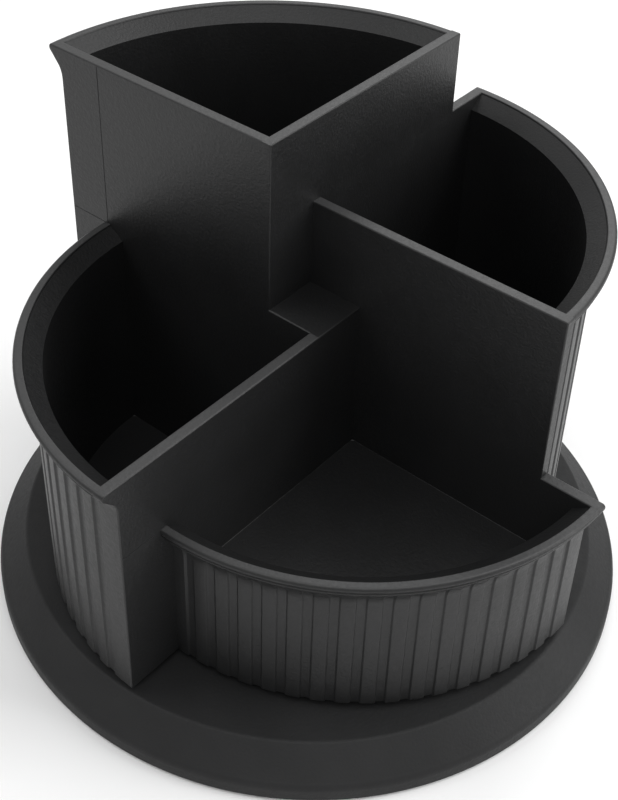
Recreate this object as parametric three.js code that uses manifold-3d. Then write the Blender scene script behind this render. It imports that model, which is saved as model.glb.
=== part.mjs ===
// Rotating desk organizer: a one-piece body with four quarter-round compartments of stepped height,
// turning on a ball race above a low round base. Millimetres, +Z up, origin on the turning axis at
// the level the feet stand on.

import * as THREE from 'three';
import { mergeVertices } from 'three/addons/utils/BufferGeometryUtils.js';
import Module from 'manifold-3d';

const wasm = await Module();
wasm.setup();

// ---------- driving dimensions ----------

// Base
const BASE_RADIUS = 80;
const BASE_TOP = 11.8;
const BASE_FLAT_RADIUS = 72.4;       // edge of the flat top, where the bevel starts
const BASE_WALL = 2.4;
const FOOT_PROUD = 0.8;              // the feet stand this far below the base's skirt
const GAP = 0.3;                     // clearance kept between touching pieces

// Feet
const FOOT_COUNT = 6;
const FOOT_RADIUS = 6;
const FOOT_THICKNESS = 2;
const FOOT_CIRCLE = 62;

// Body
const BODY_BOTTOM = 14;
const WELL_HALF = 6.1;               // half the square well between the four walls
const WALL = 2.8;
const RIM_FRONT = 56.9;
const RIM_LEFT = 78.1;
const RIM_RIGHT = 100.8;
const RIM_TALL = 122.3;
const RIM_RADIUS = 68.6;
const ARC_RADIUS = 64.8;             // outside of the curved walls
const ARC_WALL = 2.6;
const RIM_WIDTH = 2.4;
const LIP_HEIGHT = 1.6;
const FLARE_HEIGHT = 8.6;
const FLOOR_THICKNESS = 2.3;
const TRAY_FLOOR = 36.3;             // the lowest compartment is a shallow tray for clips
const RIB_PITCH = 5;                 // degrees from groove to groove
const GROOVE_WIDTH = 2;              // degrees
const GROOVE_DEPTH = 0.5;

// Ball race and pivot
const RACE_RADIUS = 33;
const BALL_COUNT = 12;
const BALL_RADIUS = 2;
const CAGE_WIDTH = 8;
const CAGE_THICKNESS = 1.2;
const SPIGOT_RADIUS = 4.2;
const SCREW_RADIUS = 1.9;
const SCREW_LENGTH = 18;
const WASHER_RADIUS = 8;
const WASHER_THICKNESS = 1;
const SCREW_HEAD_RADIUS = 4;
const SCREW_HEAD_HEIGHT = 2.8;
const GROOVE_TOP = 2.1;              // half width of the race groove at the face it is cut in
const GROOVE_FLOOR = 1;              // and at its bottom
const HUB_WALL = 4.5;
const BOSS_WALL = 0.8;
const STIFFENER = { width: 1.6, depth: 3.4 };

// ---------- worked out from them ----------

const WALL_OUT = WELL_HALF + WALL;
const ARC_CENTRE = WELL_HALF + WALL / 2;
const FLOOR_TOP = BODY_BOTTOM + FLOOR_THICKNESS;
const BALL_CENTRE = (BASE_TOP + BODY_BOTTOM) / 2;
const RACE_DEPTH = BALL_CENTRE - BASE_TOP + GAP;
const HUB_BOTTOM = BASE_TOP - BASE_WALL - 1.2;
const SPIGOT_BOTTOM = HUB_BOTTOM - 0.1;
const WASHER_TOP = SPIGOT_BOTTOM - GAP;
const SCREW_HEAD_TOP = WASHER_TOP - WASHER_THICKNESS - GAP;
const ABOVE = RIM_TALL + 10;         // a level clear above everything, for cutters
const BELOW = -10;                   // and one clear below

const SEGMENTS = { arc: 72, base: 72, ring: 48, round: 20 };

// Compartments in turn about the axis, each a quarter turn on from the one before.
const COMPARTMENTS = [
  { rim: RIM_FRONT, floor: TRAY_FLOOR },
  { rim: RIM_RIGHT, floor: FLOOR_TOP },
  { rim: RIM_TALL, floor: FLOOR_TOP },
  { rim: RIM_LEFT, floor: FLOOR_TOP },
];

// ---------- materials ----------

function plastic(name, color, roughness) {
  return new THREE.MeshStandardMaterial({ name, color, roughness, metalness: 0 });
}

const bodyPlastic = plastic('body_plastic', 0x1b1c1e, 0.55);
const basePlastic = plastic('base_plastic', 0x1d1e20, 0.6);
const cagePlastic = plastic('cage_plastic', 0xd8d6cc, 0.5);
const rubber = plastic('foot_rubber', 0x2a2a2b, 0.9);
const steel = new THREE.MeshStandardMaterial({ name: 'steel', color: 0xc4c6c8, roughness: 0.25, metalness: 1 });

// ---------- solids ----------

// A closed geometry as a manifold solid, its faces turned outwards.
function solid(geometry) {
  const bare = geometry.clone();
  bare.deleteAttribute('normal');
  bare.deleteAttribute('uv');
  const merged = mergeVertices(bare, 1e-4);
  const points = merged.attributes.position.array;
  const faces = [];
  let volume = 0;
  for (let i = 0; i < merged.index.count; i += 3) {
    const [a, b, c] = [0, 1, 2].map((corner) => merged.index.getX(i + corner));
    if (a === b || b === c || c === a) continue;
    faces.push([a, b, c]);
    const [p, q, r] = [a, b, c].map((v) => new THREE.Vector3().fromArray(points, v * 3));
    volume += p.dot(q.cross(r));
  }
  const outward = volume > 0 ? faces : faces.map(([a, b, c]) => [a, c, b]);
  return new wasm.Manifold(new wasm.Mesh({
    numProp: 3,
    vertProperties: Float32Array.from(points),
    triVerts: Uint32Array.from(outward.flat()),
  }));
}

// A manifold solid as a three.js geometry.
function surface(body) {
  const mesh = body.getMesh();
  const geometry = new THREE.BufferGeometry();
  geometry.setAttribute('position', new THREE.BufferAttribute(mesh.vertProperties, 3));
  geometry.setIndex(new THREE.BufferAttribute(mesh.triVerts, 1));
  geometry.computeVertexNormals();
  return geometry;
}

// An axis-aligned block between two corners.
function block([x0, y0, z0], [x1, y1, z1]) {
  const box = new THREE.BoxGeometry(x1 - x0, y1 - y0, z1 - z0);
  box.translate((x0 + x1) / 2, (y0 + y1) / 2, (z0 + z1) / 2);
  return solid(box);
}

// A profile of [radius, height] points turned about +Z through (x, y).
function turned(profile, segments, x = 0, y = 0) {
  const points = profile.map(([r, z]) => new THREE.Vector2(r, z));
  const lathe = new THREE.LatheGeometry(points, segments);
  lathe.rotateX(Math.PI / 2);
  lathe.translate(x, y, 0);
  return solid(lathe);
}

// The same for a ring: its profile closes on itself.
function ring(profile, segments, x = 0, y = 0) {
  return turned([...profile, profile[0]], segments, x, y);
}

// An upright cylinder.
function rod(radius, bottom, top, x = 0, y = 0, segments = SEGMENTS.round) {
  return turned([[0, bottom], [radius, bottom], [radius, top], [0, top]], segments, x, y);
}

// A point on a circle about the axis, for one of count evenly spaced places.
function place(index, count, radius) {
  const angle = (index * 2 * Math.PI) / count;
  return [radius * Math.cos(angle), radius * Math.sin(angle)];
}

function named(name, geometry, material) {
  const mesh = new THREE.Mesh(geometry, material.clone());
  mesh.name = name;
  return mesh;
}

// ---------- organizer body ----------

// Outside radius of a curved wall up to its rim: straight wall, flare, rounded lip.
function outerProfile(rim) {
  return [
    [ARC_RADIUS, BODY_BOTTOM],
    [ARC_RADIUS, rim - FLARE_HEIGHT],
    [ARC_RADIUS + 0.6, rim - FLARE_HEIGHT * 0.72],
    [RIM_RADIUS - 0.3, rim - LIP_HEIGHT - 0.3],
    [RIM_RADIUS, rim - LIP_HEIGHT],
    [RIM_RADIUS, rim - 0.4],
    [RIM_RADIUS - 0.4, rim],
  ];
}

// The whole quarter of one compartment, before it is hollowed. It lies in x > WELL_HALF,
// y < WALL_OUT, and its left wall runs straight out to the rim where the one before is lower.
function quarterBlock(rim, hasStraightWall) {
  const section = [[0, BODY_BOTTOM], ...outerProfile(rim), [0, rim]];
  const round = turned(section, SEGMENTS.arc, ARC_CENTRE, ARC_CENTRE);
  const corner = block([WELL_HALF, -BASE_RADIUS, BELOW], [BASE_RADIUS, WALL_OUT, ABOVE]);
  const quarter = round.intersect(corner);
  if (!hasStraightWall) return quarter;
  const reach = ARC_CENTRE - RIM_RADIUS;
  return quarter.add(block([WELL_HALF, reach, BODY_BOTTOM], [WALL_OUT, WALL_OUT, rim]));
}

// The hollow of one compartment, opening outwards near its rim.
function quarterHollow(rim, floor) {
  const inner = ARC_RADIUS - ARC_WALL;
  const mouth = RIM_RADIUS - RIM_WIDTH;
  const profile = [
    [0, floor],
    [inner, floor],
    [inner, rim - FLARE_HEIGHT],
    [inner + 0.7, rim - FLARE_HEIGHT * 0.7],
    [mouth, rim],
    [mouth, rim + 5],
    [0, rim + 5],
  ];
  const round = turned(profile, SEGMENTS.arc, ARC_CENTRE, ARC_CENTRE);
  return round.intersect(block([WALL_OUT, -BASE_RADIUS, BELOW], [BASE_RADIUS, WELL_HALF, ABOVE]));
}

// Shallow upright grooves that leave raised ribs on a curved wall, following its flare.
function ribGrooves(rim) {
  const outside = outerProfile(rim).slice(0, 4);
  const band = [
    [ARC_RADIUS - GROOVE_DEPTH, BELOW],
    ...outside.slice(1).map(([r, z]) => [r - GROOVE_DEPTH, z]),
    ...outside.slice(1).reverse().map(([r, z]) => [r + 1, z]),
    [ARC_RADIUS + 1, BELOW],
  ];
  const skin = ring(band, SEGMENTS.arc, ARC_CENTRE, ARC_CENTRE);
  const halfWidth = ARC_RADIUS * Math.tan(THREE.MathUtils.degToRad(GROOVE_WIDTH / 2));
  const wedges = [];
  for (let angle = RIB_PITCH; angle < 90; angle += RIB_PITCH) {
    const slot = new THREE.BoxGeometry(20, 2 * halfWidth, 2 * ABOVE);
    slot.translate(ARC_RADIUS, 0, 0);
    slot.rotateZ(-THREE.MathUtils.degToRad(angle));
    slot.translate(ARC_CENTRE, ARC_CENTRE, 0);
    wedges.push(solid(slot));
  }
  return skin.intersect(wasm.Manifold.union(wedges));
}

// The tray's floor is raised, so the moulding is hollow beneath it.
function trayUnderside() {
  const inner = ARC_RADIUS - ARC_WALL;
  const ceiling = TRAY_FLOOR - FLOOR_THICKNESS;
  const round = rod(inner, BELOW, ceiling, ARC_CENTRE, ARC_CENTRE, SEGMENTS.arc);
  const corner = block([WALL_OUT, -BASE_RADIUS, BELOW], [BASE_RADIUS, WELL_HALF, ABOVE]);
  const raceRib = ring([
    [RACE_RADIUS - 3, BELOW - 1],
    [RACE_RADIUS + 3, BELOW - 1],
    [RACE_RADIUS + 3, ABOVE],
    [RACE_RADIUS - 3, ABOVE],
  ], SEGMENTS.ring);
  return round.intersect(corner).subtract(raceRib);
}

// Half of the ball race: a groove with sloping sides, cut from a face at level z.
function raceGroove(z, depth) {
  const open = Math.sign(depth);
  return ring([
    [RACE_RADIUS - GROOVE_TOP, z],
    [RACE_RADIUS - GROOVE_FLOOR, z + depth],
    [RACE_RADIUS + GROOVE_FLOOR, z + depth],
    [RACE_RADIUS + GROOVE_TOP, z],
    [RACE_RADIUS + GROOVE_TOP, z - open * GAP],
    [RACE_RADIUS - GROOVE_TOP, z - open * GAP],
  ], SEGMENTS.ring);
}

function organizerBody() {
  let body = block([-WALL_OUT, -WALL_OUT, BODY_BOTTOM], [WALL_OUT, WALL_OUT, RIM_LEFT]);
  let hollows = trayUnderside();
  COMPARTMENTS.forEach(({ rim, floor }, index) => {
    const before = COMPARTMENTS[(index + COMPARTMENTS.length - 1) % COMPARTMENTS.length];
    const turn = [0, 0, 90 * index];
    body = body.add(quarterBlock(rim, rim > before.rim).rotate(turn));
    hollows = hollows.add(quarterHollow(rim, floor).rotate(turn));
    hollows = hollows.add(ribGrooves(rim).rotate(turn));
  });
  const well = block([-WELL_HALF, -WELL_HALF, BELOW], [WELL_HALF, WELL_HALF, RIM_LEFT - FLOOR_THICKNESS]);
  const spigot = rod(SPIGOT_RADIUS, SPIGOT_BOTTOM, RIM_LEFT - 1);
  const pilot = rod(SCREW_RADIUS + GAP, BELOW, SCREW_HEAD_TOP + SCREW_LENGTH + 2);
  body = body.subtract(hollows).subtract(well).add(spigot).subtract(pilot);
  return surface(body.subtract(raceGroove(BODY_BOTTOM, RACE_DEPTH)));
}

// ---------- base ----------

function baseShell() {
  const skirt = FOOT_PROUD;
  const ceiling = BASE_TOP - BASE_WALL;
  const bore = SPIGOT_RADIUS + GAP;
  const hub = bore + HUB_WALL;
  let base = ring([
    [BASE_RADIUS - 0.4, skirt],
    [BASE_RADIUS, skirt + 0.4],
    [BASE_RADIUS, skirt + 2.4],
    [BASE_RADIUS - 0.4, skirt + 3.7],
    [BASE_RADIUS - 1.3, skirt + 4.8],
    [BASE_FLAT_RADIUS + 0.5, BASE_TOP - 0.3],
    [BASE_FLAT_RADIUS - 0.3, BASE_TOP],
    [bore, BASE_TOP],
    [bore, HUB_BOTTOM],
    [hub, HUB_BOTTOM],
    [hub, ceiling],
    [BASE_FLAT_RADIUS - 1.2, ceiling],
    [BASE_RADIUS - BASE_WALL - 1, skirt + 3.4],
    [BASE_RADIUS - BASE_WALL, skirt + 1.6],
    [BASE_RADIUS - BASE_WALL, skirt],
  ], SEGMENTS.base);
  for (let i = 0; i < FOOT_COUNT; i += 1) {
    const [x, y] = place(i, FOOT_COUNT, FOOT_CIRCLE);
    base = base.add(rod(FOOT_RADIUS + BOSS_WALL, FOOT_THICKNESS + GAP, ceiling + 0.5, x, y));
    const half = STIFFENER.width / 2;
    const low = [hub - 0.5, -half, ceiling - STIFFENER.depth];
    const stiffener = block(low, [BASE_FLAT_RADIUS - 2, half, ceiling + 0.5]);
    base = base.add(stiffener.rotate([0, 0, (i + 0.5) * (360 / FOOT_COUNT)]));
  }
  return surface(base.subtract(raceGroove(BASE_TOP, -RACE_DEPTH)));
}

function foot() {
  const rounding = 0.4;
  return surface(turned([
    [0, 0],
    [FOOT_RADIUS - rounding, 0],
    [FOOT_RADIUS, rounding],
    [FOOT_RADIUS, FOOT_THICKNESS],
    [0, FOOT_THICKNESS],
  ], SEGMENTS.round));
}

// ---------- ball race ----------

function ballCage() {
  const inner = RACE_RADIUS - CAGE_WIDTH / 2;
  const outer = RACE_RADIUS + CAGE_WIDTH / 2;
  const bottom = BALL_CENTRE - CAGE_THICKNESS / 2;
  const top = BALL_CENTRE + CAGE_THICKNESS / 2;
  let cage = ring([[inner, bottom], [outer, bottom], [outer, top], [inner, top]], SEGMENTS.ring);
  for (let i = 0; i < BALL_COUNT; i += 1) {
    const [x, y] = place(i, BALL_COUNT, RACE_RADIUS);
    cage = cage.subtract(rod(BALL_RADIUS + GAP, BELOW, ABOVE, x, y, 12));
  }
  return surface(cage);
}

function ball() {
  return surface(solid(new THREE.IcosahedronGeometry(BALL_RADIUS, 1)));
}

// ---------- pivot ----------

function pivotWasher() {
  const bottom = WASHER_TOP - WASHER_THICKNESS;
  const hole = SCREW_RADIUS + GAP + 0.1;
  const section = [[hole, bottom], [WASHER_RADIUS, bottom], [WASHER_RADIUS, WASHER_TOP], [hole, WASHER_TOP]];
  return surface(ring(section, SEGMENTS.round));
}

// Pan-head screw, driven from below into the body's spigot, with a cross recess in its head.
function pivotScrew() {
  const headBottom = SCREW_HEAD_TOP - SCREW_HEAD_HEIGHT;
  const tip = SCREW_HEAD_TOP + SCREW_LENGTH;
  let screw = turned([
    [0, headBottom],
    [SCREW_HEAD_RADIUS - 1, headBottom],
    [SCREW_HEAD_RADIUS, headBottom + 1.2],
    [SCREW_HEAD_RADIUS, SCREW_HEAD_TOP],
    [SCREW_RADIUS, SCREW_HEAD_TOP],
    [SCREW_RADIUS, tip - 2],
    [0.5, tip],
    [0, tip],
  ], SEGMENTS.round);
  const slot = block([-2.2, -0.45, headBottom - 1], [2.2, 0.45, headBottom + 1.5]);
  screw = screw.subtract(slot).subtract(slot.rotate([0, 0, 90]));
  return surface(screw);
}

// ---------- assembly ----------

const organizer = new THREE.Group();

organizer.add(named('base_shell', baseShell(), basePlastic));
for (let i = 0; i < FOOT_COUNT; i += 1) {
  const pad = named(`foot_${i + 1}`, foot(), rubber);
  pad.position.set(...place(i, FOOT_COUNT, FOOT_CIRCLE), 0);
  organizer.add(pad);
}

organizer.add(named('ball_cage', ballCage(), cagePlastic));
for (let i = 0; i < BALL_COUNT; i += 1) {
  const sphere = named(`ball_${i + 1}`, ball(), steel);
  sphere.position.set(...place(i, BALL_COUNT, RACE_RADIUS), BALL_CENTRE);
  organizer.add(sphere);
}

organizer.add(named('organizer_body', organizerBody(), bodyPlastic));
organizer.add(named('pivot_washer', pivotWasher(), steel));
organizer.add(named('pivot_screw', pivotScrew(), steel));

export default organizer;
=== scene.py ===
"""Looks of the rotating desk organizer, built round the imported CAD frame.

Lengths are in millimetres until a mesh is made, and every mesh is in metres, in the CAD frame.
"""

import math

import bmesh
import bpy
from mathutils import Matrix, Vector


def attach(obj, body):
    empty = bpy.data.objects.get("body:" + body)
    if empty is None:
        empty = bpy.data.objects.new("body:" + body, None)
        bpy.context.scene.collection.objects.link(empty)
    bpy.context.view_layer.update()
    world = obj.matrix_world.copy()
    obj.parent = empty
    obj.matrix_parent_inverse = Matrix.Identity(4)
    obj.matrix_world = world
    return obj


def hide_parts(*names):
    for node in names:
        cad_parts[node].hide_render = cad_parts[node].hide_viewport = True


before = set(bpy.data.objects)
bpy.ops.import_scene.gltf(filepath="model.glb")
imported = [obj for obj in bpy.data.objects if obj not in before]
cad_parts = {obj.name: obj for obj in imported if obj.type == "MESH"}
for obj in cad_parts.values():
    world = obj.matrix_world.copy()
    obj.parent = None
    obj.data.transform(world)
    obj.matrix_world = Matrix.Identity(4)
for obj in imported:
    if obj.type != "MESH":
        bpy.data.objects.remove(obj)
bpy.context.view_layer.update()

MM = 0.001

# ---------- driving dimensions, as in the CAD where no comment says otherwise ----------

BASE_RADIUS = 80
BASE_TOP = 11.8
BASE_FLAT_RADIUS = 72.4
BASE_WALL = 2.4
SKIRT = 0.8
GAP = 0.3

FOOT_COUNT = 6
FOOT_RADIUS = 6
FOOT_THICKNESS = 2
FOOT_CIRCLE = 62

BODY_BOTTOM = 14
WELL_HALF = 6.1
WALL = 2.8
WALL_OUT = WELL_HALF + WALL
ARC_CENTRE = WELL_HALF + WALL / 2
RIM_RADIUS = 68.6
ARC_RADIUS = 64.8
ARC_WALL = 2.6
RIM_WIDTH = 2.4
FLOOR_THICKNESS = 2.3
FLOOR_TOP = BODY_BOTTOM + FLOOR_THICKNESS
TRAY_FLOOR = 36.3
RIB_PITCH = 5                # degrees from groove to groove
WALL_SPAN = 90               # degrees that a curved wall covers
GROOVE_DEPTH = 0.45          # a little less than in the CAD

RACE_RADIUS = 33
RACE_DEPTH = 1.4
RACE_HALF = 2.1              # half width of the race at the face it is cut in
RACE_FLOOR_HALF = 1          # and at its bottom
BALL_COUNT = 12
BALL_RADIUS = 2
BALL_CENTRE = (BASE_TOP + BODY_BOTTOM) / 2
CAGE_WIDTH = 8
CAGE_THICKNESS = 1.2
SPIGOT_RADIUS = 4.2
SPIGOT_BOTTOM = 8.1
HUB_BOTTOM = 8.2
HUB_WALL = 4.5
BOSS_WALL = 0.8
STIFFENER_HALF = 0.8
STIFFENER_DEPTH = 3.4
SCREW_RADIUS = 1.9
SCREW_LENGTH = 18
SCREW_HEAD_TOP = 6.5
SCREW_HEAD_BOTTOM = 3.7
SCREW_HEAD_RADIUS = 4
WASHER_RADIUS = 8
WASHER_TOP = 7.8
WASHER_THICKNESS = 1

# Compartments in turn about the axis: rim level, floor level, and how far down the flare reaches,
# which differs a little from one to the next and is one value in the CAD.
FRONT = {"rim": 56.9, "floor": TRAY_FLOOR, "flare": 10.6}
RIGHT = {"rim": 100.8, "floor": FLOOR_TOP, "flare": 8.6}
TALL = {"rim": 122.3, "floor": FLOOR_TOP, "flare": 8.4}
LEFT = {"rim": 78.1, "floor": FLOOR_TOP, "flare": 7.4}
COMPARTMENTS = [FRONT, RIGHT, TALL, LEFT]

EDGE = 0.42                  # radius of the moulded edges
FACE_EDGE = 0.36             # how far a flat wall's faces draw in at its edges
EDGE_STEPS = 4
LIP_ROUND = 0.85             # radius of the lip's top outer edge
LIP_BOTTOM = 2.65            # depth of the whole lip below the rim
LIP_STEPS = 6
# From the bottom of the lip up: how far inside the edge, and how far below the rim.
LIP_BEAD = [
    (0.66, 2.5), (0.5, 2.34), (0.48, 2.16), (0.66, 1.98), (0.44, 1.62), (0.16, 1.24), (0, 0.9),
]
PLAIN_LIP = (2.2, 1.55, 1.05)    # where a lip without a bead starts, bends and is upright, below the rim
LIP_FOOT = (68.3, 1.7)       # where the cone of the flare points: radius, and depth below the rim
KNEE_SHARE = 0.71            # of the flare's depth, where the cone would leave the wall
KNEE_RISE = 1.3              # from there to the end of the soft knee
KNEE_STEPS = 6
MOUTH_DEPTH = 3.3            # of the flare inside a curved wall
SHOULDER = (2.9, 4.3, 5.1)   # where the base's side starts to bend, aims and ends, above its skirt
SHOULDER_IN = 1.25           # how far the shoulder ends inside the base's radius
BASE_EDGE = 0.3              # radius of the base's small edges
LATHE_STEPS = 224
CLEAR = 20                   # how far cutters reach past what they cut
HAIR = 0.015                 # keeps faces that would lie in one plane apart
FLAT_ANGLE = 0.15            # degrees within which neighbouring faces count as one
CREASE_ANGLE = 32            # degrees above which an edge stays crisp
FLAT_WEIGHT = 80             # how strongly large faces set the shading of an edge
MERGE = 2e-7                 # metres within which points are one
LINE_WIDTH = 0.2             # of the mould's parting lines
LINE_DEPTH = 0.1
LINE_REACH = 59.6            # of the upright line from the axis
TRAY_LINE_REACH = 63         # of the inner end of the line on the tray's wall
HIGHLIGHT_DEPTH = 0.6             # half the height of the band of painted highlight, which has its middle this far down
HIGHLIGHT_MARGIN = 1.05           # lets the band reach just past the rim itself
HIGHLIGHT_UPWARD = (0.82, 0.95)   # upward share of the normal where the painted highlight starts and is full


# ---------- mesh helpers ----------

def mesh_object(name, points, faces):
    mesh = bpy.data.meshes.new(name)
    mesh.from_pydata([(x * MM, y * MM, z * MM) for x, y, z in points], [], faces)
    work = bmesh.new()
    work.from_mesh(mesh)
    bmesh.ops.remove_doubles(work, verts=work.verts, dist=MERGE)
    bmesh.ops.recalc_face_normals(work, faces=work.faces)
    work.to_mesh(mesh)
    work.free()
    obj = bpy.data.objects.new(name, mesh)
    bpy.context.scene.collection.objects.link(obj)
    return obj


def loft(name, rings, closed=False):
    """A closed surface through rings of points. Open ends get flat caps."""
    count = len(rings[0])
    spans = len(rings) if closed else len(rings) - 1
    faces = []
    for k in range(spans):
        here = k * count
        there = (k + 1) % len(rings) * count
        for i in range(count):
            j = (i + 1) % count
            faces.append((here + i, here + j, there + j, there + i))
    if not closed:
        last = (len(rings) - 1) * count
        faces.append(tuple(reversed(range(count))))
        faces.append(tuple(range(last, last + count)))
    return mesh_object(name, [p for ring in rings for p in ring], faces)


def lathe(name, profile, steps=LATHE_STEPS, centre=(0, 0)):
    """A closed profile of (radius, height) points turned about an upright line."""
    rings = []
    for k in range(steps):
        angle = 2 * math.pi * k / steps
        rings.append([
            (centre[0] + r * math.cos(angle), centre[1] + r * math.sin(angle), z)
            for r, z in profile
        ])
    return loft(name, rings, closed=True)


def block(name, low, high):
    outline = [(low[0], low[1]), (high[0], low[1]), (high[0], high[1]), (low[0], high[1])]
    return loft(name, [[(x, y, z) for x, y in outline] for z in (low[2], high[2])])


def quarter_turned(obj, index):
    obj.data.transform(Matrix.Rotation(index * math.pi / 2, 4, "Z"))
    return obj


def combined(target, others, operation):
    """target with the others joined to it or cut from it, as one closed mesh."""
    group = bpy.data.collections.new("operands")
    bpy.context.scene.collection.children.link(group)
    for other in others:
        bpy.context.scene.collection.objects.unlink(other)
        group.objects.link(other)
    step = target.modifiers.new("combine", "BOOLEAN")
    step.operation = operation
    step.operand_type = "COLLECTION"
    step.collection = group
    step.solver = "MANIFOLD"
    freeze(target)
    for other in others:
        bpy.data.objects.remove(other)
    bpy.data.collections.remove(group)
    return target


def freeze(obj):
    """Replaces the mesh with the result of the modifiers."""
    graph = bpy.context.evaluated_depsgraph_get()
    made = bpy.data.meshes.new_from_object(obj.evaluated_get(graph))
    obj.modifiers.clear()
    obj.data = made


def smoothed(obj):
    """Smooth shading with creases, where large flat faces keep their own direction."""
    work = bmesh.new()
    work.from_mesh(obj.data)
    flat = math.radians(FLAT_ANGLE)
    bmesh.ops.dissolve_limit(work, angle_limit=flat, verts=work.verts, edges=work.edges)
    work.to_mesh(obj.data)
    work.free()
    obj.data.shade_smooth()
    obj.data.set_sharp_from_angle(angle=math.radians(CREASE_ANGLE))
    step = obj.modifiers.new("weighted", "WEIGHTED_NORMAL")
    step.keep_sharp = True
    step.weight = FLAT_WEIGHT
    freeze(obj)
    return obj


def finished(obj, name, body, material, nodes):
    """Names a piece, gives it its material, and puts it on its CAD body in place of CAD nodes."""
    obj.name = name
    obj.data.materials.clear()
    obj.data.materials.append(material)
    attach(obj, body)
    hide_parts(*nodes)
    return obj


# ---------- outlines ----------

def quarter_round(centre, radius, start, steps=EDGE_STEPS):
    """Points on a quarter circle from the start angle, counter-clockwise, in degrees."""
    points = []
    for i in range(steps + 1):
        angle = math.radians(start + 90 * i / steps)
        points.append((centre[0] + radius * math.cos(angle), centre[1] + radius * math.sin(angle)))
    return points


def bend(start, control, end, steps):
    """Points on a quadratic curve, with its start and end."""
    points = []
    for i in range(steps + 1):
        t = i / steps
        weights = ((1 - t) ** 2, 2 * t * (1 - t), t * t)
        points.append(tuple(
            sum(w * p[axis] for w, p in zip(weights, (start, control, end))) for axis in (0, 1)
        ))
    return points


def inset(outline, distance):
    """A counter-clockwise outline moved inwards, with mitred corners."""
    moved = []
    count = len(outline)
    for i, here in enumerate(outline):
        before = Vector(here) - Vector(outline[i - 1])
        after = Vector(outline[(i + 1) % count]) - Vector(here)
        normals = [Vector((-d.y, d.x)).normalized() for d in (before, after)]
        middle = normals[0] + normals[1]
        moved.append(tuple(Vector(here) + middle * (2 * distance / max(middle.length_squared, 0.5))))
    return moved


def outer_profile(spec, beaded):
    """Outside of a curved wall from its rounded foot to the top of its lip.

    The flare is a straight cone with a soft knee. A beaded lip leans in below its edge and ends in a
    fine bead, under which the ribs start.
    """
    rim = spec["rim"]
    knee = rim - spec["flare"] * KNEE_SHARE
    slope = (LIP_FOOT[0] - ARC_RADIUS) / (rim - LIP_FOOT[1] - knee)

    def cone(height):
        return (ARC_RADIUS + slope * (height - knee), height)

    foot = quarter_round((ARC_RADIUS - EDGE, BODY_BOTTOM + EDGE), EDGE, -90)
    start = (ARC_RADIUS, rim - spec["flare"])
    soft_knee = bend(start, (ARC_RADIUS, knee), cone(knee + KNEE_RISE), KNEE_STEPS)
    if beaded:
        lip = [cone(rim - LIP_BOTTOM)]
        lip += [(RIM_RADIUS - depth, rim - drop) for depth, drop in LIP_BEAD]
    else:
        leaves, aims, upright = PLAIN_LIP
        lip = bend(cone(rim - leaves), (RIM_RADIUS, rim - aims), (RIM_RADIUS, rim - upright), EDGE_STEPS)
    lip += quarter_round((RIM_RADIUS - LIP_ROUND, rim - LIP_ROUND), LIP_ROUND, 0, LIP_STEPS)
    return foot + soft_knee + lip


def inner_profile(spec):
    """Inside of a curved wall: rounded rim, straight flare with a crisp foot, upright wall."""
    rim = spec["rim"]
    inner = ARC_RADIUS - ARC_WALL
    mouth = RIM_RADIUS - RIM_WIDTH
    top = quarter_round((mouth + EDGE, rim - EDGE), EDGE, 90)
    return top + [(inner, rim - MOUTH_DEPTH), (inner, BODY_BOTTOM)]


# ---------- organizer body ----------

# Share of the groove's depth at angles from its middle, in degrees.
GROOVE_EDGE = [(0.70, 1.0), (0.84, 0.88), (0.97, 0.5), (1.10, 0.12), (1.24, 0.0)]
PLAIN_END = 2                # degrees at each end of a wall with nothing cut in
GROOVE_RUNOUT = 0.8          # height over which a groove fades out


def groove_stations():
    """(angle, share of depth) across a curved wall."""
    stations = [(0, 0), (PLAIN_END, 0)]
    for middle in range(RIB_PITCH, WALL_SPAN, RIB_PITCH):
        stations += [(middle - offset, share) for offset, share in reversed(GROOVE_EDGE)]
        stations.append((middle, 1.0))
        stations += [(middle + offset, share) for offset, share in GROOVE_EDGE]
        stations.append((middle + RIB_PITCH / 2, 0))
    return stations[:-1] + [(WALL_SPAN - PLAIN_END, 0), (WALL_SPAN, 0)]


def groove_fade(height, rim):
    """Share of a groove's depth at a height: all of it up the wall, and none from the lip's foot up."""
    return min(1.0, max(0.0, (rim - LIP_BOTTOM - height) / GROOVE_RUNOUT))


def curved_wall(spec):
    """A ribbed wall round the axis of its arc, from one flat wall to the next."""
    outer = outer_profile(spec, True)
    inner = inner_profile(spec)
    rings = []
    for angle, share in groove_stations():
        turn = math.radians(angle - WALL_SPAN)
        ring = []
        for r, z in outer:
            depth = GROOVE_DEPTH * share * groove_fade(z, spec["rim"])
            ring.append((r - depth, z))
        rings.append([
            (ARC_CENTRE + r * math.cos(turn), ARC_CENTRE + r * math.sin(turn), z)
            for r, z in ring + inner
        ])
    return loft("curved_wall", rings)


def end_outline(spec, following, inner_end):
    """Outline, in reach and height, of the wall that ends one compartment and starts the next."""
    outline = [(inner_end, BODY_BOTTOM)]
    outline += [(ARC_CENTRE + r, z) for r, z in outer_profile(spec, False)]
    top = spec["rim"]
    if following["rim"] > spec["rim"]:
        edge = RIM_RADIUS - ARC_CENTRE
        top = following["rim"]
        outline.append((edge, spec["rim"]))
        outline += quarter_round((edge - EDGE, top - EDGE), EDGE, 0)
    outline.append((inner_end, top))
    return outline


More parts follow.
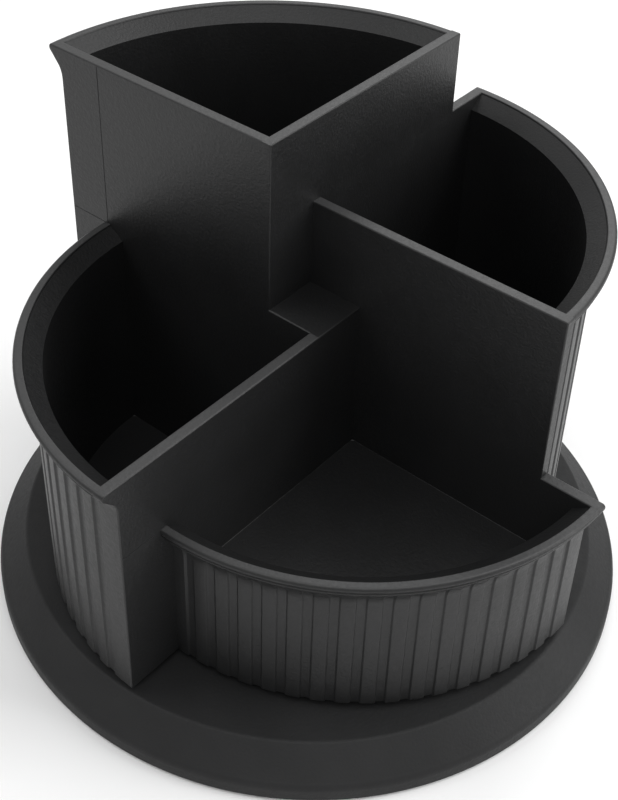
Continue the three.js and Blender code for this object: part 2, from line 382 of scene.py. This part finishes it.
def flat_wall(outline, low, high):
    """An outline given thickness along Y, with rounded edges on both faces."""
    layers = []
    for i in range(EDGE_STEPS + 1):
        angle = math.radians(90 * i / EDGE_STEPS)
        layers.append((FACE_EDGE * (1 - math.cos(angle)), FACE_EDGE * (1 - math.sin(angle))))
    levels = [(low + depth, shrink) for depth, shrink in layers]
    levels += [(high - depth, shrink) for depth, shrink in reversed(layers)]
    rings = [[(u, y, z) for u, z in inset(outline, shrink)] for y, shrink in levels]
    return loft("flat_wall", rings)


def sector(shrink, corner, height):
    """Plan of a compartment's inside at one level, moved inwards by shrink."""
    corner_steps = 6
    arc_steps = 56
    x = WALL_OUT + shrink + corner
    y = WELL_HALF - shrink - corner
    radius = ARC_RADIUS - ARC_WALL - shrink - corner
    start = math.acos((x - ARC_CENTRE) / radius)
    finish = math.asin((y - ARC_CENTRE) / radius)
    points = []
    for i in range(corner_steps + 1):
        angle = math.radians(90 + 90 * i / corner_steps)
        points.append((x + corner * math.cos(angle), y + corner * math.sin(angle)))
    low = ARC_CENTRE - math.sqrt(radius ** 2 - (x - ARC_CENTRE) ** 2)
    for i in range(corner_steps):
        angle = math.pi + (math.pi - start) * i / corner_steps
        points.append((x + corner * math.cos(angle), low + corner * math.sin(angle)))
    for i in range(arc_steps + 1):
        angle = -start + (start + finish) * i / arc_steps
        points.append((
            ARC_CENTRE + (radius + corner) * math.cos(angle),
            ARC_CENTRE + (radius + corner) * math.sin(angle),
        ))
    far = ARC_CENTRE + math.sqrt(radius ** 2 - (y - ARC_CENTRE) ** 2)
    for i in range(1, corner_steps):
        angle = finish + (math.pi / 2 - finish) * i / corner_steps
        points.append((far + corner * math.cos(angle), y + corner * math.sin(angle)))
    return [(px, py, height) for px, py in points]


def compartment_floor(spec):
    """A floor whose edge sweeps up into the walls in a small fillet, and reaches into them to join."""
    top = spec["floor"]
    bury = 1.0
    fillet = 0.12
    fillet_steps = 5
    corner = 0.8
    rings = [
        sector(-bury, corner, top - FLOOR_THICKNESS),
        sector(-bury, corner, top + fillet),
        sector(-HAIR, corner, top + fillet),
    ]
    for i in range(1, fillet_steps + 1):
        angle = math.radians(90 * i / fillet_steps)
        rings.append(sector(
            fillet * (1 - math.cos(angle)),
            corner,
            top + fillet * (1 - math.sin(angle)),
        ))
    return loft("floor", rings)


def race_groove(level, open_side):
    """Half of the ball race, cut from the face at this level."""
    bottom = level - open_side * RACE_DEPTH
    outside = level + open_side * 0.5
    return lathe("race_groove", [
        (RACE_RADIUS - RACE_HALF, level),
        (RACE_RADIUS - RACE_FLOOR_HALF, bottom),
        (RACE_RADIUS + RACE_FLOOR_HALF, bottom),
        (RACE_RADIUS + RACE_HALF, level),
        (RACE_RADIUS + RACE_HALF, outside),
        (RACE_RADIUS - RACE_HALF, outside),
    ])


def race_rib():
    """Carries the race under the raised tray, from one flat wall to the other."""
    inner = RACE_RADIUS - 3
    outer = RACE_RADIUS + 3
    top = TRAY_FLOOR - 1
    section = [(inner, BODY_BOTTOM), (outer, BODY_BOTTOM), (outer, top), (inner, top)]
    start = -78
    steps = 48
    rings = []
    for k in range(steps + 1):
        angle = math.radians(start + 90 * k / steps)
        rings.append([(r * math.cos(angle), r * math.sin(angle), z) for r, z in section])
    return loft("race_rib", rings)


def flat_walls():
    """The four straight walls, each shared by two compartments."""
    inner_ends = [-ARC_CENTRE, -WALL_OUT + HAIR, ARC_CENTRE, -ARC_CENTRE]
    walls = []
    for index, spec in enumerate(COMPARTMENTS):
        following = COMPARTMENTS[(index + 1) % len(COMPARTMENTS)]
        outline = end_outline(spec, following, inner_ends[index])
        walls.append(quarter_turned(flat_wall(outline, WELL_HALF, WALL_OUT), index))
    return walls


def centre_block():
    """Closes the middle under a ledge level with the left compartment's rim."""
    ledge = LEFT["rim"]
    low_x = -ARC_CENTRE + 0.4    # within the left wall
    outline = [(-WALL_OUT, BODY_BOTTOM), (ARC_CENTRE, BODY_BOTTOM), (ARC_CENTRE, ledge)]
    outline += quarter_round((-WALL_OUT + EDGE, ledge - EDGE), EDGE, 90)
    rings = [[(x, u, z) for u, z in outline] for x in (low_x, ARC_CENTRE)]
    return loft("centre_block", rings)


def parting_lines():
    """Fine lines that the mould's parts leave on the two outer wall ends in front."""
    spare = 1
    near = WALL_OUT - LINE_DEPTH
    far = WALL_OUT + spare
    tip = RIM_RADIUS + ARC_CENTRE + spare
    level = LEFT["rim"]
    tray = FRONT["rim"]
    top = TALL["rim"] - 0.5
    half = LINE_WIDTH / 2
    return [
        block("line", (-LINE_REACH - half, -far, level), (-LINE_REACH + half, -near, top)),
        block("line", (-tip, -far, level - half), (-LINE_REACH, -near, level + half)),
        block("line", (near, -tip, tray - half), (far, -TRAY_LINE_REACH, tray + half)),
    ]


def organizer_body():
    parts = flat_walls() + [centre_block(), race_rib()]
    for index, spec in enumerate(COMPARTMENTS):
        parts.append(quarter_turned(curved_wall(spec), index))
        parts.append(quarter_turned(compartment_floor(spec), index))
    body = combined(parts[0], parts[1:], "UNION")
    half = WELL_HALF - HAIR
    ceiling = LEFT["rim"] - FLOOR_THICKNESS
    well = block("well", (-half, -half, BODY_BOTTOM - CLEAR), (half, half, ceiling))
    combined(body, [well, race_groove(BODY_BOTTOM, -1), *parting_lines()], "DIFFERENCE")
    spigot_top = ceiling + 1
    spigot = lathe("spigot", rod_profile(SPIGOT_RADIUS, SPIGOT_BOTTOM, spigot_top, EDGE))
    combined(body, [spigot], "UNION")
    pilot_edge = 0.1
    pilot_top = SCREW_HEAD_TOP + SCREW_LENGTH + 2
    pilot = lathe("pilot", rod_profile(SCREW_RADIUS + GAP, 0, pilot_top, pilot_edge))
    combined(body, [pilot], "DIFFERENCE")
    return smoothed(body)


def rod_profile(radius, bottom, top, edge):
    """Half section of a round bar with rounded ends, from the axis out."""
    profile = [(0, bottom)]
    profile += quarter_round((radius - edge, bottom + edge), edge, -90)
    profile += quarter_round((radius - edge, top - edge), edge, 0)
    return profile + [(0, top)]


# ---------- base ----------

def base_profile():
    """Half section of the base: foot edge, shoulder, bevel, crest, then bore, hub and inside."""
    ceiling = BASE_TOP - BASE_WALL
    inside_radius = BASE_RADIUS - BASE_WALL
    bore = SPIGOT_RADIUS + GAP
    hub = bore + HUB_WALL
    leaves, aims, ends = SHOULDER
    shoulder = bend(
        (BASE_RADIUS, SKIRT + leaves),
        (BASE_RADIUS, SKIRT + aims),
        (BASE_RADIUS - SHOULDER_IN, SKIRT + ends),
        8,
    )
    crest = bend(
        (BASE_FLAT_RADIUS + 0.55, BASE_TOP - 0.36),
        (BASE_FLAT_RADIUS + 0.1, BASE_TOP),
        (BASE_FLAT_RADIUS - 0.45, BASE_TOP),
        4,
    )
    foot = quarter_round((BASE_RADIUS - BASE_EDGE, SKIRT + BASE_EDGE), BASE_EDGE, -90)
    inside = [
        (bore + BASE_EDGE, BASE_TOP),
        (bore, BASE_TOP - BASE_EDGE),
        (bore, HUB_BOTTOM),
        (hub, HUB_BOTTOM),
        (hub, ceiling),
        (BASE_FLAT_RADIUS - 1.2, ceiling),
        (inside_radius - 1, SKIRT + 3.4),
        (inside_radius, SKIRT + 1.6),
        (inside_radius, SKIRT + 0.2),
        (inside_radius + 0.2, SKIRT),
    ]
    return foot + shoulder + crest + inside


def foot_place(index):
    angle = 2 * math.pi * index / FOOT_COUNT
    return (FOOT_CIRCLE * math.cos(angle), FOOT_CIRCLE * math.sin(angle))


def base_shell():
    """The base with a boss for each foot and a stiffener between each two."""
    base = lathe("base", base_profile())
    ceiling = BASE_TOP - BASE_WALL
    root = ceiling + 0.5
    rib_low = (8.5, -STIFFENER_HALF, ceiling - STIFFENER_DEPTH)
    rib_high = (BASE_FLAT_RADIUS - 2, STIFFENER_HALF, root)
    parts = []
    for index in range(FOOT_COUNT):
        boss = rod_profile(FOOT_RADIUS + BOSS_WALL, FOOT_THICKNESS + GAP, root, BASE_EDGE)
        parts.append(lathe("boss", boss, 64, foot_place(index)))
        rib = block("rib", rib_low, rib_high)
        rib.data.transform(Matrix.Rotation((index + 0.5) * 2 * math.pi / FOOT_COUNT, 4, "Z"))
        parts.append(rib)
    combined(base, parts, "UNION")
    combined(base, [race_groove(BASE_TOP, 1)], "DIFFERENCE")
    return smoothed(base)


def foot_pad(index):
    edge = 0.4
    profile = rod_profile(FOOT_RADIUS, 0, FOOT_THICKNESS, edge)
    return smoothed(lathe("pad", profile, 72, foot_place(index)))


# ---------- ball race and pivot ----------

def ball_place(index):
    angle = 2 * math.pi * index / BALL_COUNT
    return (RACE_RADIUS * math.cos(angle), RACE_RADIUS * math.sin(angle))


def ball_cage():
    low = BALL_CENTRE - CAGE_THICKNESS / 2
    high = BALL_CENTRE + CAGE_THICKNESS / 2
    inner = RACE_RADIUS - CAGE_WIDTH / 2
    outer = RACE_RADIUS + CAGE_WIDTH / 2
    edge = 0.25
    section = quarter_round((outer - edge, low + edge), edge, -90)
    section += quarter_round((outer - edge, high - edge), edge, 0)
    section += quarter_round((inner + edge, high - edge), edge, 90)
    section += quarter_round((inner + edge, low + edge), edge, 180)
    cage = lathe("cage", section)
    pocket = BALL_RADIUS + GAP
    hole = [(0, 0), (pocket, 0), (pocket, CLEAR), (0, CLEAR)]
    holes = []
    for index in range(BALL_COUNT):
        holes.append(lathe("hole", hole, 40, ball_place(index)))
    return smoothed(combined(cage, holes, "DIFFERENCE"))


def ball(index):
    steps = 24
    profile = []
    for i in range(steps + 1):
        angle = math.radians(-90 + 180 * i / steps)
        profile.append((BALL_RADIUS * math.cos(angle), BALL_CENTRE + BALL_RADIUS * math.sin(angle)))
    return smoothed(lathe("ball", profile, 48, ball_place(index)))


def pivot_washer():
    hole = SCREW_RADIUS + GAP + 0.1
    low = WASHER_TOP - WASHER_THICKNESS
    edge = 0.2
    section = quarter_round((WASHER_RADIUS - edge, low + edge), edge, -90)
    section += quarter_round((WASHER_RADIUS - edge, WASHER_TOP - edge), edge, 0)
    section += [(hole, WASHER_TOP), (hole, low)]
    return smoothed(lathe("washer", section, 96))


def screw_profile():
    """Half section of the screw: domed head, threaded shank, blunt tip."""
    core = SCREW_RADIUS - 0.4
    thread_pitch = 1.2
    plain_end = 3
    tip = SCREW_HEAD_TOP + SCREW_LENGTH
    dome = bend(
        (0, SCREW_HEAD_BOTTOM),
        (SCREW_HEAD_RADIUS, SCREW_HEAD_BOTTOM),
        (SCREW_HEAD_RADIUS, SCREW_HEAD_BOTTOM + 1.4),
        10,
    )
    profile = dome + [(SCREW_HEAD_RADIUS, SCREW_HEAD_TOP), (core, SCREW_HEAD_TOP)]
    level = SCREW_HEAD_TOP
    while level < tip - plain_end:
        profile += [(core, level + 0.3), (SCREW_RADIUS, level + 0.6), (core, level + 0.9)]
        level += thread_pitch
    return profile + [(0.4, tip), (0, tip)]


def pivot_screw():
    """The screw with a cross recess in its head."""
    screw = lathe("screw", screw_profile(), 96)
    reach = 2.2
    bottom = SCREW_HEAD_BOTTOM - 1
    top = bottom + 2.5
    slots = []
    for quarter in (0, 1):
        half = 0.45 + quarter * HAIR
        slot = block("slot", (-reach, -half, bottom), (reach, half, top))
        slots.append(quarter_turned(slot, quarter))
    return smoothed(combined(screw, slots, "DIFFERENCE"))


# ---------- materials ----------

# The part of a noise's range that is used; less and more count as its ends.
NOISE_LOW = 0.3
NOISE_HIGH = 0.7


def shader(name, color, roughness, metallic=0.0):
    material = bpy.data.materials.new(name)
    material.use_nodes = True
    principled = material.node_tree.nodes["Principled BSDF"]
    principled.inputs["Base Color"].default_value = (*color, 1)
    principled.inputs["Roughness"].default_value = roughness
    principled.inputs["Metallic"].default_value = metallic
    return material, material.node_tree, principled


def noise(tree, scale, detail=3.0):
    """Noise fixed to the object, its scale in features per metre."""
    place = tree.nodes.new("ShaderNodeTexCoord")
    node = tree.nodes.new("ShaderNodeTexNoise")
    node.inputs["Scale"].default_value = scale
    node.inputs["Detail"].default_value = detail
    tree.links.new(place.outputs["Object"], node.inputs["Vector"])
    return node.outputs["Fac"]


def spread(tree, factor, low, high, target):
    """Drives a socket between two values, numbers or colours, by the middle part of a noise."""
    if isinstance(low, tuple):
        ramp = tree.nodes.new("ShaderNodeValToRGB")
        ramp.color_ramp.elements[0].position = NOISE_LOW
        ramp.color_ramp.elements[0].color = (*low, 1)
        ramp.color_ramp.elements[1].position = NOISE_HIGH
        ramp.color_ramp.elements[1].color = (*high, 1)
        tree.links.new(factor, ramp.inputs["Fac"])
        tree.links.new(ramp.outputs["Color"], target)
        return
    span = tree.nodes.new("ShaderNodeMapRange")
    span.inputs["From Min"].default_value = NOISE_LOW
    span.inputs["From Max"].default_value = NOISE_HIGH
    span.inputs["To Min"].default_value = low
    span.inputs["To Max"].default_value = high
    tree.links.new(factor, span.inputs["Value"])
    tree.links.new(span.outputs["Result"], target)


def grain(tree, principled, layers):
    """Surface relief from layers of (features per metre, height in millimetres)."""
    normal = None
    for scale, height in layers:
        bump = tree.nodes.new("ShaderNodeBump")
        bump.inputs["Strength"].default_value = 1.0
        bump.inputs["Distance"].default_value = height * MM
        tree.links.new(noise(tree, scale), bump.inputs["Height"])
        if normal is not None:
            tree.links.new(normal, bump.inputs["Normal"])
        normal = bump.outputs["Normal"]
    tree.links.new(normal, principled.inputs["Normal"])


def moulded_plastic(name, dark, light, roughness, gloss):
    """Matt moulded plastic: fine spark-eroded grain over a slow change in tone and gloss."""
    material, tree, principled = shader(name, dark, roughness)
    principled.inputs["Specular IOR Level"].default_value = gloss
    spread(tree, noise(tree, 60), dark, light, principled.inputs["Base Color"])
    smoother = roughness - 0.03
    rougher = roughness + 0.05
    spread(tree, noise(tree, 900, 2.0), smoother, rougher, principled.inputs["Roughness"])
    grain(tree, principled, [(1500, 0.075), (900, 0.02)])
    return material


def axis_values(tree, source, output):
    """The X, Y and Z sockets of a vector that a new source node puts out."""
    node = tree.nodes.new(source)
    parts = tree.nodes.new("ShaderNodeSeparateXYZ")
    tree.links.new(node.outputs[output], parts.inputs["Vector"])
    return parts.outputs


def calculated(tree, operation, *values):
    """A maths node on sockets and numbers."""
    node = tree.nodes.new("ShaderNodeMath")
    node.operation = operation
    for socket, value in zip(node.inputs, values):
        if isinstance(value, (int, float)):
            socket.default_value = value
        else:
            tree.links.new(value, socket)
    return node.outputs["Value"]


def rim_highlight_mask(tree):
    """Mask of the painted highlight: 1 on the rims' tops and upper edges where they face up, and 0
    elsewhere, also on the ledge in the middle.
    """
    place = axis_values(tree, "ShaderNodeTexCoord", "Object")
    upward = axis_values(tree, "ShaderNodeNewGeometry", "Normal")["Z"]
    reach = calculated(
        tree,
        "MAXIMUM",
        calculated(tree, "ABSOLUTE", place["X"]),
        calculated(tree, "ABSOLUTE", place["Y"]),
    )
    outside = calculated(tree, "GREATER_THAN", reach, WALL_OUT * MM)
    total = 0.0
    for spec in COMPARTMENTS:
        level = (spec["rim"] - HIGHLIGHT_DEPTH) * MM
        here = calculated(tree, "COMPARE", place["Z"], level, HIGHLIGHT_DEPTH * HIGHLIGHT_MARGIN * MM)
        if spec is LEFT:
            here = calculated(tree, "MULTIPLY", here, outside)
        total = calculated(tree, "ADD", here, total)
    rounded = tree.nodes.new("ShaderNodeMapRange")
    rounded.inputs["From Min"].default_value = HIGHLIGHT_UPWARD[0]
    rounded.inputs["From Max"].default_value = HIGHLIGHT_UPWARD[1]
    tree.links.new(upward, rounded.inputs["Value"])
    on_rim = calculated(tree, "MINIMUM", total, 1.0)
    return calculated(tree, "MULTIPLY", on_rim, rounded.outputs["Result"])


def painted_rim_highlight(material, color):
    """Rims painted a lighter tone where they face up, a painted highlight, over a finished moulded
    plastic.
    """
    tree = material.node_tree
    target = tree.nodes["Principled BSDF"].inputs["Base Color"]
    mixed = tree.nodes.new("ShaderNodeMix")
    mixed.data_type = "RGBA"
    patches = calculated(tree, "ADD", noise(tree, 1500), 0.5)
    # painted highlight on the rim tops, broken into patches by noise
    highlight_share = calculated(tree, "MULTIPLY", rim_highlight_mask(tree), patches)
    tree.links.new(highlight_share, mixed.inputs["Factor"])
    tree.links.new(target.links[0].from_socket, mixed.inputs["A"])
    mixed.inputs["B"].default_value = (*color, 1)
    tree.links.new(mixed.outputs["Result"], target)


def rubber():
    material, tree, principled = shader("foot_rubber_look", (0.02, 0.02, 0.021), 0.8)
    dark = (0.016, 0.016, 0.017)
    light = (0.03, 0.03, 0.031)
    spread(tree, noise(tree, 400), dark, light, principled.inputs["Base Color"])
    spread(tree, noise(tree, 300), 0.7, 0.9, principled.inputs["Roughness"])
    grain(tree, principled, [(1500, 0.05)])
    return material


def bright_steel():
    material, tree, principled = shader("steel_look", (0.6, 0.61, 0.62), 0.22, 1.0)
    dark = (0.55, 0.56, 0.57)
    light = (0.66, 0.67, 0.68)
    spread(tree, noise(tree, 500), dark, light, principled.inputs["Base Color"])
    spread(tree, noise(tree, 1200), 0.16, 0.32, principled.inputs["Roughness"])
    grain(tree, principled, [(2500, 0.004)])
    return material


def natural_nylon():
    material, tree, principled = shader("cage_look", (0.62, 0.6, 0.53), 0.45)
    dark = (0.56, 0.54, 0.47)
    light = (0.68, 0.66, 0.6)
    spread(tree, noise(tree, 200), dark, light, principled.inputs["Base Color"])
    spread(tree, noise(tree, 800), 0.38, 0.52, principled.inputs["Roughness"])
    grain(tree, principled, [(1800, 0.015)])
    return material


def body_plastic():
    dark = (0.0085, 0.0086, 0.0088)
    light = (0.0110, 0.0112, 0.0115)
    return moulded_plastic("body_plastic_look", dark, light, roughness=0.42, gloss=0.40)


def base_plastic():
    dark = (0.0170, 0.0172, 0.0176)
    light = (0.0210, 0.0212, 0.0216)
    return moulded_plastic("base_plastic_look", dark, light, roughness=0.52, gloss=0.17)


# ---------- pieces ----------

def build_pieces():
    body_look = body_plastic()
    base_look = base_plastic()
    # painted highlight: the lighter colour given to rim tops that face up, standing in for light from
    # above
    painted_rim_highlight(body_look, (0.038, 0.0382, 0.0386))
    foot_look = rubber()
    steel_look = bright_steel()
    cage_look = natural_nylon()
    finished(organizer_body(), "body_moulding", "turntable", body_look, ["organizer_body"])
    finished(base_shell(), "base_moulding", "base", base_look, ["base_shell"])
    for index in range(FOOT_COUNT):
        number = index + 1
        finished(foot_pad(index), f"foot_pad_{number}", "base", foot_look, [f"foot_{number}"])
    finished(ball_cage(), "cage_ring", "ball_ring", cage_look, ["ball_cage"])
    for index in range(BALL_COUNT):
        number = index + 1
        finished(ball(index), f"race_ball_{number}", "ball_ring", steel_look, [f"ball_{number}"])
    finished(pivot_washer(), "washer_disc", "turntable", steel_look, ["pivot_washer"])
    finished(pivot_screw(), "pan_head_screw", "turntable", steel_look, ["pivot_screw"])


# ---------- camera, floor and light ----------

CAMERA_AZIMUTH = 40.928      # degrees round from the front, to the right
CAMERA_ELEVATION = 38.04
CAMERA_ROLL = 0.504
CAMERA_PLACE = (159.594, -201.135, 275.992)
SENSOR = 36
LENS = 62.721
SHIFT = (0.0543, -0.1090)    # puts the object where it stands in the frame
FLOOR_HALF = 6               # metres


def add_camera():
    azimuth = math.radians(CAMERA_AZIMUTH)
    elevation = math.radians(CAMERA_ELEVATION)
    roll = math.radians(CAMERA_ROLL)
    back = Vector((
        math.sin(azimuth) * math.cos(elevation),
        -math.cos(azimuth) * math.cos(elevation),
        math.sin(elevation),
    ))
    right = Vector((0, 0, 1)).cross(back).normalized()
    up = back.cross(right)
    tilted_right = right * math.cos(roll) + up * math.sin(roll)
    tilted_up = up * math.cos(roll) - right * math.sin(roll)
    data = bpy.data.cameras.new("camera")
    camera = bpy.data.objects.new("camera", data)
    bpy.context.scene.collection.objects.link(camera)
    turn = Matrix((tilted_right, tilted_up, back)).transposed().to_4x4()
    camera.matrix_world = Matrix.Translation(Vector(CAMERA_PLACE) * MM) @ turn
    data.sensor_width = SENSOR
    data.lens = LENS
    data.shift_x, data.shift_y = SHIFT
    data.clip_start = 0.01
    data.clip_end = 20
    bpy.context.scene.camera = camera


def add_floor():
    floor = mesh_object("floor", [], [])
    work = bmesh.new()
    bmesh.ops.create_grid(work, x_segments=2, y_segments=2, size=FLOOR_HALF)
    work.to_mesh(floor.data)
    work.free()
    material, tree, principled = shader("floor_look", (0.9, 0.9, 0.9), 0.6)
    spread(tree, noise(tree, 5), (0.89, 0.89, 0.89), (0.91, 0.91, 0.91), principled.inputs["Base Color"])
    floor.data.materials.append(material)


# Softboxes round the object: bearing from the camera's side, counter-clockwise from above, and
# elevation, both in degrees, then power in watts.
SOFTBOXES = [
    ("right_low", 80, 18, 5),
    ("right_high", 90, 50, 4.5),
    ("left_high", -92, 46, 2.5),
    ("back", 162, 45, 3.5),
    ("front_high", 0, 62, 3.4),
]
SOFTBOX_DISTANCE = 1.2
SOFTBOX_SIZE = 0.6
AIM_HEIGHT = 0.06            # of the point that all softboxes face, in metres like their distance
SKY_STRENGTH = 0.58


def add_softbox(name, bearing, elevation, power):
    """A soft area light that faces the middle of the object."""
    turn = math.radians(CAMERA_AZIMUTH + bearing)
    rise = math.radians(elevation)
    away = Vector((
        math.sin(turn) * math.cos(rise),
        -math.cos(turn) * math.cos(rise),
        math.sin(rise),
    ))
    data = bpy.data.lights.new(name, "AREA")
    data.size = SOFTBOX_SIZE
    data.energy = power
    light = bpy.data.objects.new(name, data)
    bpy.context.scene.collection.objects.link(light)
    light.location = Vector((0, 0, AIM_HEIGHT)) + away * SOFTBOX_DISTANCE
    light.rotation_euler = away.to_track_quat("Z", "Y").to_euler()


def add_light():
    world = bpy.data.worlds.new("studio")
    world.use_nodes = True
    sky = world.node_tree.nodes["Background"]
    sky.inputs["Color"].default_value = (1, 1, 1, 1)
    sky.inputs["Strength"].default_value = SKY_STRENGTH
    bpy.context.scene.world = world
    for softbox in SOFTBOXES:
        add_softbox(*softbox)
    bpy.context.scene.view_settings.view_transform = "Standard"


add_camera()
build_pieces()
add_floor()
add_light()
